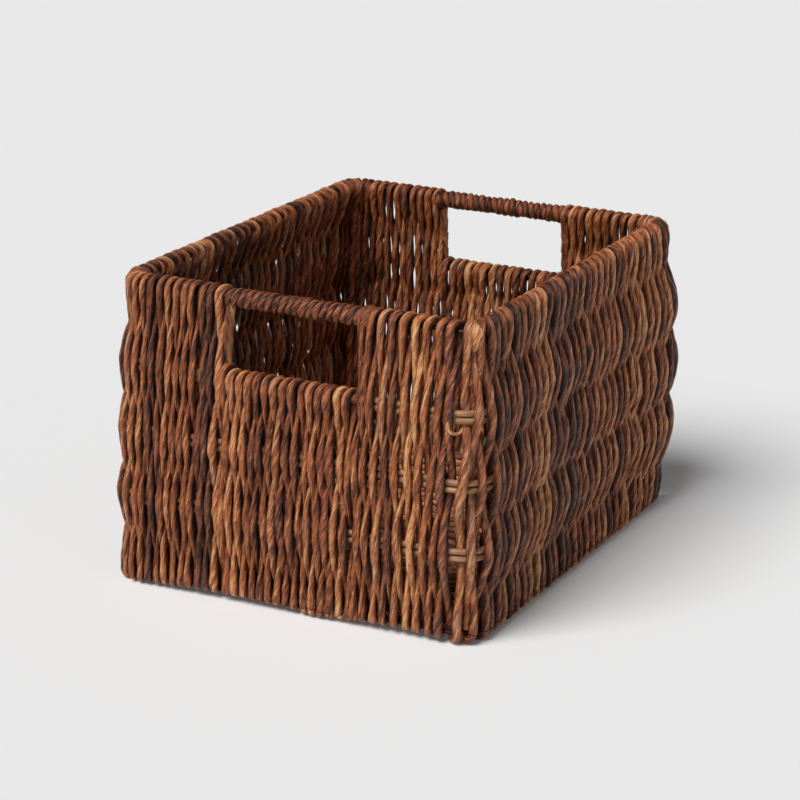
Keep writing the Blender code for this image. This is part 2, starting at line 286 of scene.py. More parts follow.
@dataclass(frozen=True)
class TwistedFibreCord:
    """Dyed banana-bark fibre twisted into cord: dull, streaky, tan where the dye has worn off, with painted
    highlight on the crowns of the cords and painted shade on their flanks and in the grooves of the twist.
    """

    name: str
    shadow: str = "#2A150D"
    deep: str = "#63321C"
    body: str = "#98522D"
    warm: str = "#B56C3E"
    # Tan of rubbed wear, which the painted highlight on the crowns also reaches
    rubbed_and_highlight: str = "#DBA872"
    ash: str = "#5F4139"
    bleached: str = "#A58A72"
    streak_mm: tuple[float, float] = (0.9, 6.0)
    strand_mm: tuple[float, float] = (2.4, 26.0)
    band_mm: tuple[float, float] = (60.0, 17.0)
    patch_mm: float = 45.0
    streak_gain: float = 2.2
    strand_share: float = 1.0
    band_share: float = 0.5
    tone_share: float = 0.6
    patch_share: float = 0.2
    # Share of the painted light and shade across each cord: paler crowns, darker flanks and twist grooves
    crown_shading_share: float = 0.34
    darkness: float = 0.79
    ash_gain: float = 2.2
    ash_threshold: float = 2.05
    ash_chance: float = 1.3
    ridge_mm: float = 1.3
    roughness: float = 0.5

    def build(self) -> bpy.types.Material:
        """Make the material.

        Returns:
            A material that follows each cord by its fibre and tone attributes.
        """
        material, tree, shader = blank_material(self.name)
        # The tone attribute holds each cord's own tone, its painted light and shade across the cord, and a
        # random number
        parts = add_node(tree, "ShaderNodeSeparateXYZ", links={0: attribute(tree, "tone")})
        base, crown_shading, chance = parts.outputs
        streak = grain(tree, self.streak_mm, detail=3.0, roughness=0.7)
        strand = grain(tree, self.strand_mm, detail=2.0)
        band = grain(tree, self.band_mm, detail=3.0, roughness=0.6)
        patch = blotches(tree, self.patch_mm, detail=2.0, roughness=0.5)
        level = arithmetic(tree, "MULTIPLY_ADD", streak, self.streak_gain, -self.streak_gain / 2)
        for part, share in (
            (strand, self.strand_share),
            (band, self.band_share),
            (base, self.tone_share),
            (patch, self.patch_share),
            (crown_shading, self.crown_shading_share),
        ):
            level = arithmetic(tree, "MULTIPLY_ADD", part, share, level)
        level = arithmetic(tree, "SUBTRACT", level, self.darkness, clamp=True)
        # Low levels give dark fibre and painted shade, high levels rubbed tan and painted highlight
        dyed = colour_ramp(
            tree,
            level,
            ((0.0, self.shadow), (0.22, self.deep), (0.48, self.body), (0.7, self.warm), (1.0, self.rubbed_and_highlight)),
        )
        ash = colour_ramp(tree, level, ((0.0, self.shadow), (0.5, self.ash), (1.0, self.bleached)))
        ash_level = arithmetic(tree, "MULTIPLY_ADD", band, self.ash_gain, -self.ash_threshold)
        ash_level = arithmetic(tree, "MULTIPLY_ADD", chance, self.ash_chance, ash_level, clamp=True)
        mixed = add_node(tree, "ShaderNodeMix", links={0: ash_level, 6: dyed, 7: ash}, data_type="RGBA")
        tree.links.new(mixed.outputs[2], shader.inputs["Base Color"])
        ridge = arithmetic(tree, "MULTIPLY_ADD", strand, 1.3, streak)
        emboss(tree, shader, ridge, 1.0, self.ridge_mm)
        rough = arithmetic(tree, "MULTIPLY_ADD", streak, -0.5, self.roughness + 0.2)
        tree.links.new(rough, shader.inputs["Roughness"])
        shader.inputs["Specular IOR Level"].default_value = 0.4
        return material


@dataclass(frozen=True)
class PeeledRattan:
    """Undyed rattan reed, split and peeled: pale, with fine lengthwise pores and brown nodes."""

    name: str = "peeled_rattan"
    pale: str = "#B98B60"
    body: str = "#976846"
    dark: str = "#5E3B25"
    grain_mm: tuple[float, float] = (0.5, 30.0)
    blotch_mm: tuple[float, float] = (5.0, 14.0)
    ridge_mm: float = 0.25
    roughness: float = 0.48

    def build(self) -> bpy.types.Material:
        """Make the material.

        Returns:
            A material with grain that runs along each reed.
        """
        material, tree, shader = blank_material(self.name)
        pores = grain(tree, self.grain_mm, detail=3.0, roughness=0.6)
        blotch = grain(tree, self.blotch_mm, detail=1.0)
        level = arithmetic(tree, "MULTIPLY_ADD", blotch, 0.6, arithmetic(tree, "MULTIPLY", pores, 0.5))
        colour = colour_ramp(tree, level, ((0.3, self.dark), (0.52, self.body), (0.75, self.pale)))
        tree.links.new(colour, shader.inputs["Base Color"])
        emboss(tree, shader, pores, 0.6, self.ridge_mm)
        shader.inputs["Roughness"].default_value = self.roughness
        return material


@dataclass(frozen=True)
class BlackenedWire:
    """Drawn steel wire with a thin black coat: dark, half gloss, with faint draw marks and rust."""

    name: str = "blackened_wire"
    coat: str = "#2A2522"
    rust: str = "#5A3A26"
    mottle_mm: float = 4.0
    pit_mm: float = 0.1

    def build(self) -> bpy.types.Material:
        """Make the material.

        Returns:
            A dark metal with small worn patches.
        """
        material, tree, shader = blank_material(self.name)
        mottle = blotches(tree, self.mottle_mm, detail=4.0, roughness=0.65)
        colour = colour_ramp(tree, mottle, ((0.45, self.coat), (0.72, self.rust)))
        tree.links.new(colour, shader.inputs["Base Color"])
        rough = arithmetic(tree, "MULTIPLY_ADD", mottle, 0.3, 0.3)
        tree.links.new(rough, shader.inputs["Roughness"])
        emboss(tree, shader, mottle, 0.3, self.pit_mm)
        shader.inputs["Metallic"].default_value = 0.85
        return material


@dataclass(frozen=True)
class StudioPaper:
    """Seamless pale grey paper, matt, lit a little from behind so that its shadows stay light."""

    name: str = "studio_paper"
    colour: str = "#E3E3E3"
    glow: float = 0.06

    def build(self) -> bpy.types.Material:
        """Make the material.

        Returns:
            A plain matt surface.
        """
        material, _, shader = blank_material(self.name)
        shader.inputs["Base Color"].default_value = srgb(self.colour)
        shader.inputs["Roughness"].default_value = 0.9
        shader.inputs["Specular IOR Level"].default_value = 0.1
        shader.inputs["Emission Color"].default_value = srgb("#FFFFFF")
        shader.inputs["Emission Strength"].default_value = self.glow
        return material


# ---------------------------------------------------------------- cords


@dataclass
class CordRun:
    """One length of cord: its centre line and its section along it."""

    points: np.ndarray
    sides: np.ndarray
    half_widths: np.ndarray
    half_depths: np.ndarray
    tone: float = 0.5
    chance: float = 0.0
    twist_mm: float = 18.0
    phase: float = 0.0
    lobes: int = 3
    lobe_depth: float = 0.10
    strip_mm: float = 0.0
    strip_step: float = 0.0


@dataclass(frozen=True)
class CordShaper:
    """Turns runs of cord into one mesh of twisted, lobed tubes."""

    station: float = 1.7 * MM
    facets: int = 12

    def resample(self, run: CordRun) -> tuple[np.ndarray, np.ndarray, np.ndarray, np.ndarray, np.ndarray]:
        """Space the stations of a run evenly along it.

        Args:
            run: Cord to space out.

        Returns:
            Lengths, points, sides, half widths and half depths at the stations.
        """
        steps = np.linalg.norm(np.diff(run.points, axis=0), axis=1)
        keep = np.concatenate([[True], steps > 1e-7])
        columns = np.column_stack([run.points, run.sides, run.half_widths, run.half_depths])[keep]
        steps = np.linalg.norm(np.diff(columns[:, :3], axis=0), axis=1)
        lengths = np.concatenate([[0.0], np.cumsum(steps)])
        count = max(4, int(round(lengths[-1] / self.station)))
        at = np.linspace(0.0, lengths[-1], count + 1)
        even = np.stack([np.interp(at, lengths, column) for column in columns.T], 1)
        return at, even[:, :3], even[:, 3:6], even[:, 6], even[:, 7]

    def tube(self, run: CordRun) -> tuple[np.ndarray, list[np.ndarray], np.ndarray, np.ndarray]:
        """Build the vertices and faces of one cord.

        Args:
            run: Cord to build.

        Returns:
            Vertices, face index arrays, fibre coordinates and tones.
        """
        at, points, sides, widths, depths = self.resample(run)
        count = len(at)
        ahead = np.gradient(points, axis=0)
        ahead /= np.linalg.norm(ahead, axis=1)[:, None]
        sides = sides - ahead * np.sum(sides * ahead, 1)[:, None]
        sides /= np.linalg.norm(sides, axis=1)[:, None]
        across = np.cross(ahead, sides)
        turns = 2 * math.pi * 1000.0 / run.twist_mm
        theta = np.arange(self.facets) * 2 * math.pi / self.facets
        turned = theta[None, :] - turns * at[:, None] - run.phase
        lobe = np.cos(run.lobes * turned)
        along = at[:, None] * 1000.0
        lump = np.sin(along / 3.9 + 2.1 * run.phase) + 0.8 * np.sin(along / 1.7 + 3.7 * run.phase)
        radius = 1.0 + run.lobe_depth * (lobe + 0.55 * lump)
        if run.strip_mm:
            # A flat strip is wound on, and each turn starts on top of the last one's edge
            wound = (along / run.strip_mm + theta[None, :] / (2 * math.pi)) % 1.0
            radius = radius + run.strip_step * (wound - 0.5)
        ring = (
            points[:, None, :]
            + sides[:, None, :] * (widths[:, None] * np.cos(theta)[None, :] * radius)[:, :, None]
            + across[:, None, :] * (depths[:, None] * np.sin(theta)[None, :] * radius)[:, :, None]
        )
        ring[:, :, 2] = np.maximum(ring[:, :, 2], 0.0)  # cords that touch the floor flatten
        fibre = np.stack(
            [
                GIRTH_MM * np.cos(turned) + 40.0 * run.chance,
                GIRTH_MM * np.sin(turned) + 90.0 * run.tone,
                np.repeat(along, self.facets, 1) + 500.0 * run.chance,
            ],
            2,
        )
        # Painted light and shade: the outward crowns of the cords are painted paler as highlight, their
        # flanks and the grooves of the twist darker as shade
        crown_shading = 0.3 * lobe + 1.5 * (np.abs(np.sin(theta))[None, :] - 0.62)
        tones = np.stack([np.full_like(lobe, run.tone), crown_shading, np.full_like(lobe, run.chance)], 2)
        index = np.arange(count * self.facets).reshape(count, self.facets)
        below, above = index[:-1], index[1:]
        quads = np.stack([below, np.roll(below, -1, 1), np.roll(above, -1, 1), above], 2).reshape(-1, 4)
        faces = [quads, index[0][::-1], index[-1]]
        return ring.reshape(-1, 3), faces, fibre.reshape(-1, 3), tones.reshape(-1, 3)

    def mesh_object(
        self, name: str, runs: Sequence[CordRun], material: bpy.types.Material
    ) -> bpy.types.Object:
        """Build one object from several cords.

        Args:
            name: Name of the piece.
            runs: Cords that belong to it.
            material: Finish of the cords.

        Returns:
            The new object, linked to the scene.
        """
        verts, fibres, tones, loops, totals = [], [], [], [], []
        offset = 0
        for run in runs:
            points, faces, fibre, tone = self.tube(run)
            verts.append(points)
            fibres.append(fibre)
            tones.append(tone)
            for face in faces:
                block = face.reshape(-1, 4) if face.ndim == 2 else face[None, :]
                loops.append((block + offset).ravel())
                totals.append(np.full(len(block), block.shape[1]))
            offset += len(points)
        points = np.concatenate(verts)
        corners = np.concatenate(loops).astype(np.int32)
        sizes = np.concatenate(totals).astype(np.int32)
        starts = np.concatenate([[0], np.cumsum(sizes)[:-1]]).astype(np.int32)
        mesh = bpy.data.meshes.new(name)
        mesh.vertices.add(len(points))
        mesh.vertices.foreach_set("co", points.astype(np.float32).ravel())
        mesh.loops.add(len(corners))
        mesh.loops.foreach_set("vertex_index", corners)
        mesh.polygons.add(len(sizes))
        mesh.polygons.foreach_set("loop_start", starts)
        mesh.polygons.foreach_set("use_smooth", np.ones(len(sizes), dtype=bool))
        mesh.update(calc_edges=True)
        for label, data in (("fibre", np.concatenate(fibres)), ("tone", np.concatenate(tones))):
            layer = mesh.attributes.new(label, "FLOAT_VECTOR", "POINT")
            layer.data.foreach_set("vector", data.astype(np.float32).ravel())
        mesh.materials.append(material)
        piece = bpy.data.objects.new(name, mesh)
        bpy.context.scene.collection.objects.link(piece)
        return piece


# ---------------------------------------------------------------- the basket's lines


@dataclass(frozen=True)
class Lines:
    """Lines of the basket that the cords follow, in metres."""

    width: float = 264.0 * MM
    depth: float = 350.0 * MM
    corner_radius: float = 12.0 * MM
    rim_height: float = 219.8 * MM
    foot_height: float = 8.2 * MM
    levels: tuple[float, float, float] = (66.0 * MM, 114.5 * MM, 163.0 * MM)
    foot_spread: float = 3.5 * MM
    reed_standoff: float = 5.7 * MM
    wire_radius: float = 2.0 * MM
    cord_radius: float = 3.1 * MM
    reed_radius: float = 2.4 * MM
    base_height: float = 10.2 * MM
    base_pairs: tuple[float, ...] = (-100.0 * MM, -50.0 * MM, 0.0, 50.0 * MM, 100.0 * MM)
    corner_bulges: tuple[float, float, float, float] = (1.8 * MM, 6.0 * MM, 1.5 * MM, -0.6 * MM)
    bulge_reach: float = 110.0 * MM

    @property
    def rim_loop(self) -> float:
        """Radius that a cord's centre turns on round a wire."""
        return self.wire_radius + self.cord_radius

    @property
    def reed_loop(self) -> float:
        """How far a cord's centre passes from the middle of a reed pair."""
        return self.reed_radius + 0.82 * self.cord_radius

    def corner_arc(self) -> float:
        """Length of the half corner that belongs to each end of a wall."""
        return self.corner_radius * math.pi / 4

    def wall_length(self, wall: Wall) -> float:
        """Measure a wall's line, half corners included.

        Args:
            wall: The wall.

        Returns:
            Its length.
        """
        side = self.depth if wall in (Wall.RIGHT, Wall.LEFT) else self.width
        return side - 2 * self.corner_radius + 2 * self.corner_arc()

    def frame_middle(self, z: np.ndarray | float) -> np.ndarray | float:
        """Lean the posts out towards the foot.

        Args:
            z: Heights.

        Returns:
            How far the posts stand outside the rim ring there.
        """
        return self.foot_spread * (self.rim_height - z) / (self.rim_height - self.foot_height)

    def bulge(self, wall: Wall, along: np.ndarray, z: np.ndarray) -> np.ndarray:
        """Swell the wall out of true near its corners, as hand work does.

        Args:
            wall: The wall.
            along: Distances along its line.
            z: Heights.

        Returns:
            How far the wall swells out there.
        """
        height = np.clip((z - self.foot_height) / (self.rim_height - self.foot_height), 0.0, 1.0)
        share = np.sin(math.pi * height) ** 0.6
        total = np.zeros_like(z * 1.0)
        length = self.wall_length(wall)
        for corner, size in enumerate(self.corner_bulges):
            if corner == wall.value:
                away = along
            elif corner == (wall.value + 1) % 4:
                away = length - along
            else:
                continue
            fade = np.clip(1.0 - away / self.bulge_reach, 0.0, 1.0)
            total = total + size * fade * fade * (3 - 2 * fade)
        return total * share

    def middle(self, wall: Wall, along: np.ndarray, z: np.ndarray) -> np.ndarray:
        """Find the middle of the wall's thickness.

        Args:
            wall: The wall.
            along: Distances along its line.
            z: Heights.

        Returns:
            How far the middle stands outside the rim ring there.
        """
        heights = [self.foot_height, self.levels[0], self.levels[2], self.rim_height]
        stand = np.interp(z, heights, [0.0, self.reed_standoff, self.reed_standoff, 0.0])
        return self.frame_middle(z) + stand + self.bulge(wall, along, z)

    def reed_rise(self, wall: Wall, along: np.ndarray | float, index: int) -> np.ndarray | float:
        """Let a reed pair wander up and down.

        Args:
            wall: The wall.
            along: Distances along its line.
            index: Number of the pair, lowest first.

        Returns:
            How far the pair is above its level there.
        """
        along = np.asarray(along)
        phase = 1.7 * wall.value + 2.3 * index
        ends = np.sin(math.pi * np.clip(along / self.wall_length(wall), 0.0, 1.0)) ** 0.5
        wave = np.sin(along / (31.0 * MM) + phase) + 0.7 * np.sin(along / (17.0 * MM) + 2 * phase)
        return 1.0 * MM * wave * ends

    def place(
        self, wall: Wall, along: np.ndarray, out: np.ndarray, z: np.ndarray
    ) -> tuple[np.ndarray, np.ndarray]:
        """Turn wall coordinates into points.

        Args:
            wall: Wall that the coordinates belong to.
            along: Distances along the wall's line from its first corner's middle.
            out: Distances outwards from the rim ring.
            z: Heights.

        Returns:
            Points, and unit vectors along the wall there.
        """
        arc = self.corner_arc()
        straight = self.wall_length(wall) - 2 * arc
        turn = (np.minimum(along - arc, 0.0) + np.maximum(along - arc - straight, 0.0)) / self.corner_radius
        angle = wall.facing + turn
        run = np.clip(along - arc, 0.0, straight) - straight / 2
        inset = (self.width if wall in (Wall.RIGHT, Wall.LEFT) else self.depth) / 2 - self.corner_radius
        normal = np.array([math.cos(wall.facing), math.sin(wall.facing)])
        tangent = np.array([-normal[1], normal[0]])
        centre = inset * normal[None, :] + run[:, None] * tangent[None, :]
        radial = np.stack([np.cos(angle), np.sin(angle)], 1)
        flat = centre + radial * (self.corner_radius + out)[:, None]
        sides = np.stack([-np.sin(angle), np.cos(angle), np.zeros_like(angle)], 1)
        return np.column_stack([flat, z]), sides


LINES = Lines()
FAN = 0.75
OPEN_FAN = 0.2
CROSSING_SCATTER = 0.055


def repeat(direction: Sequence[float], count: int) -> np.ndarray:
    """Give some points the same direction.

    Args:
        direction: The direction.
        count: Number of points.

    Returns:
        One row for each point.
    """
    return np.tile(np.array(direction), (count, 1))


def cords_name(panel: str, early: bool) -> str:
    """Name the first or second half of a panel's cords.

    Args:
        panel: Name of the panel.
        early: Whether the cord is in the first half.

    Returns:
        Name of the piece.
    """
    return f"{panel}_cords_{'first' if early else 'second'}"


@dataclass(frozen=True)
class Sway:
    """Slow wander of a hand-laid cord."""

    amplitudes: tuple[float, ...]
    waves: tuple[float, ...]
    phases: tuple[float, ...]

    @staticmethod
    def draw(rng: np.random.Generator, size: float) -> "Sway":
        """Draw a random wander.

        Args:
            rng: Source of the waves.
            size: Size of the wander in metres.

        Returns:
            The wander.
        """
        waves = tuple(float(rng.uniform(45, 170)) * MM for _ in range(3))
        return Sway(
            tuple(size * float(rng.uniform(0.3, 1.0)) for _ in range(3)),
            waves,
            tuple(float(rng.uniform(0, 2 * math.pi)) for _ in range(3)),
        )

    def at(self, length: np.ndarray) -> np.ndarray:
        """Find the wander.

        Args:
            length: Distances along the cord.

        Returns:
            The wander at each distance.
        """
        total = np.zeros_like(length)
        for amplitude, wave, phase in zip(self.amplitudes, self.waves, self.phases):
            total += amplitude / 2 * np.sin(2 * math.pi * length / wave + phase)
        return total


@dataclass(frozen=True)
class PassPlan:
    """How one pass of cord climbs a wall."""

    wall: Wall
    along: float
    side: Pass
    level_half: float
    cross_half: float
    top: float
    drift: float
    sway: Sway
    fullness: float
    crossing_shifts: tuple[float, ...] = (0.0, 0.0, 0.0, 0.0)
    fan: float = FAN
    top_clear: float = 8.0 * MM
    flat_reach: float = 50.0 * MM
    flat_share: float = 0.3

    def stations(self) -> tuple[np.ndarray, np.ndarray, np.ndarray]:
        """Swing the pass from one side of each reed pair to the other.

        Returns:
            Heights, distances from the wall's middle, and how much the cord is pinched, from the foot up.
        """
        lines = LINES
        stops = [lines.foot_height]
        for k, height in enumerate(lines.levels):
            if height < self.top - self.top_clear:
                stops.append(height + float(lines.reed_rise(self.wall, self.along, k)))
        stops.append(self.top)
        sign = 1.0 if self.side is Pass.OUTER_AT_RIM else -1.0
        foot_sign = sign if len(stops) % 2 else -sign
        heights, offsets, pinches = [], [], []
        for k, (low, high) in enumerate(zip(stops, stops[1:])):
            last = k == len(stops) - 2
            t = np.linspace(0.0, 1.0, 40, endpoint=last)
            low_size = lines.rim_loop if k == 0 else lines.reed_loop
            high_size = lines.rim_loop if last else lines.reed_loop
            size = low_size + (high_size - low_size) * t
            early = t + 4 * self.crossing_shifts[k] * t * (1 - t)
            heights.append(low + (high - low) * t)
            offsets.append(foot_sign * (-1) ** k * size * np.cos(math.pi * early))
            pinches.append(np.sin(math.pi * early) ** 1.8)
        return np.concatenate(heights), np.concatenate(offsets), np.concatenate(pinches)

    def climb(self) -> tuple[np.ndarray, np.ndarray, np.ndarray, np.ndarray]:
        """Centre line of the pass from the foot to the top.

        Returns:
            Points, sides, half widths and half depths.
        """
        z, out, pinch = self.stations()
        share = (z - z[0]) / (z[-1] - z[0])
        if self.wall in (Wall.LEFT, Wall.FRONT):
            # The cords at the front left corner lie flatter than the others
            away = self.along if self.wall is Wall.FRONT else LINES.wall_length(self.wall) - self.along
            near = max(0.0, 1.0 - away / self.flat_reach)
            out = out * (1.0 - self.flat_share * near * np.sin(math.pi * share))
        fade = np.sin(math.pi * share) ** 0.5
        along = self.along + self.drift * (share - 0.5) * fade + self.sway.at(z) * fade
        middle = LINES.middle(self.wall, along, z)
        points, sides = LINES.place(self.wall, along, middle + out, z)
        half = (self.level_half + (self.cross_half - self.level_half) * pinch) * self.fullness
        arc = LINES.corner_arc()
        if not arc < self.along < LINES.wall_length(self.wall) - arc:
            # Round a corner the cords spread so that they still touch
            even = 0.5 * half + 0.25 * (self.level_half + self.cross_half) * self.fullness
            half = even * (1.0 + self.fan * np.maximum(middle, 0.0) / LINES.corner_radius)
        squeeze = np.clip(self.level_half / np.maximum(half, 1e-6), 1.0, 1.6)
        deep = 0.84 * LINES.cord_radius * squeeze * (1.0 + 0.5 * (self.fullness - 1.0))
        return points, sides, half, deep


def half_turn(
    wall: Wall,
    start: float,
    end: float,
    centre_out: float,
    centre_z: float,
    radius: float,
    over: bool,
    steps: int = 14,
    squash: float = 1.0,
) -> tuple[np.ndarray, np.ndarray]:
    """Turn of a cord round a wire, from one side of it to the other.

    Args:
        wall: Wall that the turn belongs to.
        start: Place along the wall where the turn starts.
        end: Place along the wall where it ends.
        centre_out: How far the wire stands outside the rim ring.
        centre_z: Height of the wire.
        radius: Radius of the turn.
        over: True over the wire from outside to inside, False under it from inside to outside.
        steps: Number of points.
        squash: Factor on the turn's height.

    Returns:
        Points and sides of the turn, without its ends.
    """
    t = np.linspace(0.0, 1.0, steps + 2)[1:-1]
    angle = math.pi * t if over else math.pi * (1 + t)
    along = start + (end - start) * (0.5 - 0.5 * np.cos(math.pi * t))
    out = centre_out + radius * np.cos(angle)
    z = centre_z + radius * squash * np.sin(angle)
    return LINES.place(wall, along, out, z)


@dataclass(frozen=True)
class Spacing:
    """Places of the loops along a wall, from the spacing that is wanted at each point."""

    length: float
    stops: tuple[tuple[float, float], ...]
    count: int = 0

    def table(self) -> tuple[np.ndarray, np.ndarray]:
        """Count the loops along the wall.

        Returns:
            Numbers of loops up to some places, and the places.
        """
        along = np.linspace(0.0, self.length, 2000)
        pitch = np.interp(along, [stop[0] for stop in self.stops], [stop[1] for stop in self.stops])
        total = np.concatenate([[0.0], np.cumsum(0.5 * (1 / pitch[1:] + 1 / pitch[:-1]) * np.diff(along))])
        loops = self.count or int(round(total[-1]))
        return total * loops / total[-1], along

    def loops(self) -> int:
        """How many loops the wall has."""
        return int(round(self.table()[0][-1]))

    def at(self, number: float) -> float:
        """Find a loop.

        Args:
            number: Number of the loop, which may be a fraction.

        Returns:
            Its distance along the wall.
        """
        total, along = self.table()
        return float(np.interp(number, total, along))


@dataclass
class WeaveBook:
    """Keeps the runs of cord by piece, so that each piece stays small enough."""

    runs: dict[str, list[CordRun]] = field(default_factory=dict)

    def add(self, piece: str, run: CordRun) -> None:
        """Add a run to a piece.

        Args:
            piece: Name of the piece.
            run: The cord.
        """
        self.runs.setdefault(piece, []).append(run)


@dataclass
class ShortWall:
    """A front or back wall: cords looped over the rim wire and under the base wire."""

    wall: Wall
    pitches: tuple[tuple[float, float], ...]
    level_half: float = 3.2 * MM
    hand_edge: float = 51.6 * MM
    cross_share: float = 0.275
    hand_flat: float = 44.0 * MM
    hand_bend: float = 8.0 * MM
    sway: float = 1.3 * MM
    drift: float = 1.5 * MM
    foot_lift: float = 3.8 * MM
    place_scatter: float = 0.07
    calm_pitch: float = 7.2 * MM
    seed: int = 1

    def weave(self, book: WeaveBook) -> None:
        """Lay the wall's loops.

        Args:
            book: Gets the runs.
        """
        rng = np.random.default_rng(SEED + self.seed)
        length = LINES.wall_length(self.wall)
        name = self.wall.name.lower()
        spacing = Spacing(length, self.pitches)
        for k in range(spacing.loops()):
            first, second = spacing.at(k + 0.25), spacing.at(k + 0.75)
            s, pitch = spacing.at(k + 0.5), spacing.at(k + 1) - spacing.at(k)
            x = s - length / 2
            in_hand = abs(x) < self.hand_edge
            reach = max(0.0, abs(x) - self.hand_flat) if in_hand else 0.0
            rise = self.hand_bend - math.sqrt(self.hand_bend**2 - reach**2)
            top = LINES.levels[2] + rise if in_hand else LINES.rim_height
            run = self.loop(rng, first, second, pitch, top)
            book.add(cords_name(f"{name}_wall", s < length / 2), run)

    def loop(
        self, rng: np.random.Generator, first: float, second: float, pitch: float, top: float
    ) -> CordRun:
        """One loop: up outside, over the wire at the top, and down inside.

        Args:
            rng: Source of the loop's own variation.
            first: Place of the pass that is outside at the top.
            second: Place of the pass that is inside at the top.
            pitch: Distance to the next loop.
            top: Height of the wire that it turns over.

        Returns:
            The run of cord.
        """
        lines = LINES
        length = lines.wall_length(self.wall)
        shift = float(rng.normal(0.0, self.place_scatter)) * pitch
        fullness = float(rng.uniform(0.86, 1.12))
        calm = min(1.0, pitch / self.calm_pitch) ** 1.5
        crossings = tuple(float(rng.normal(0.0, CROSSING_SCATTER)) for _ in range(4))
        passes = []
        for place, side in ((first, Pass.OUTER_AT_RIM), (second, Pass.INNER_AT_RIM)):
            plan = PassPlan(
                wall=self.wall,
                along=place + shift,
                side=side,
                level_half=min(self.level_half, 0.48 * pitch),
                cross_half=min(lines.cord_radius, self.cross_share * pitch),
                top=top,
                drift=float(rng.normal(0.0, self.drift)) * calm,
                sway=Sway.draw(rng, self.sway * calm),
                fullness=fullness * float(rng.uniform(0.93, 1.07)),
                crossing_shifts=crossings,
                fan=OPEN_FAN if self.wall is Wall.FRONT and place > length / 2 else FAN,
            )
            passes.append(plan.climb())
        up, down = passes
        out_top = float(lines.middle(self.wall, np.array([first]), np.array([top]))[0])
        over, over_sides = half_turn(
            self.wall, first + shift, second + shift, out_top, top, lines.rim_loop, True
        )
        over_half = np.full(len(over), min(self.level_half, 0.43 * pitch) * fullness)
        over_deep = np.full(len(over), lines.cord_radius)
        foot_first = abs(np.sum(up[0][0][:2] ** 2)) > abs(np.sum(down[0][0][:2] ** 2))
        before, after = (second - pitch, first) if foot_first else (first, second)
        lift = self.foot_lift * abs(math.sin(2.0 * math.pi * (first / length) ** 1.25)) ** 0.7
        tail, tail_sides = half_turn(
            self.wall,
            before + shift,
            after + shift,
            lines.foot_spread,
            lines.foot_height,
            lines.rim_loop,
            False,
            squash=1.0 - 0.6 * lift / lines.rim_loop,
        )
        tail_half = np.full(len(tail), min(self.level_half, 0.5 * pitch) * fullness)
        tail_deep = np.full(len(tail), lines.cord_radius - 0.4 * lift)
        foot = (tail, tail_sides, tail_half, tail_deep)
        sections = [up, (over, over_sides, over_half, over_deep), tuple(part[::-1] for part in down)]
        sections = [foot, *sections] if foot_first else [*sections, foot]
        return CordRun(
            *(np.concatenate(parts) for parts in zip(*sections)),
            tone=float(rng.uniform(0.0, 1.0)),
            chance=float(rng.uniform(0.0, 1.0)),
            twist_mm=float(rng.uniform(34.0, 95.0)),
            phase=float(rng.uniform(0.0, 2 * math.pi)),
            lobes=int(rng.choice([2, 3, 3])),
            lobe_depth=float(rng.uniform(0.03, 0.1)),
        )


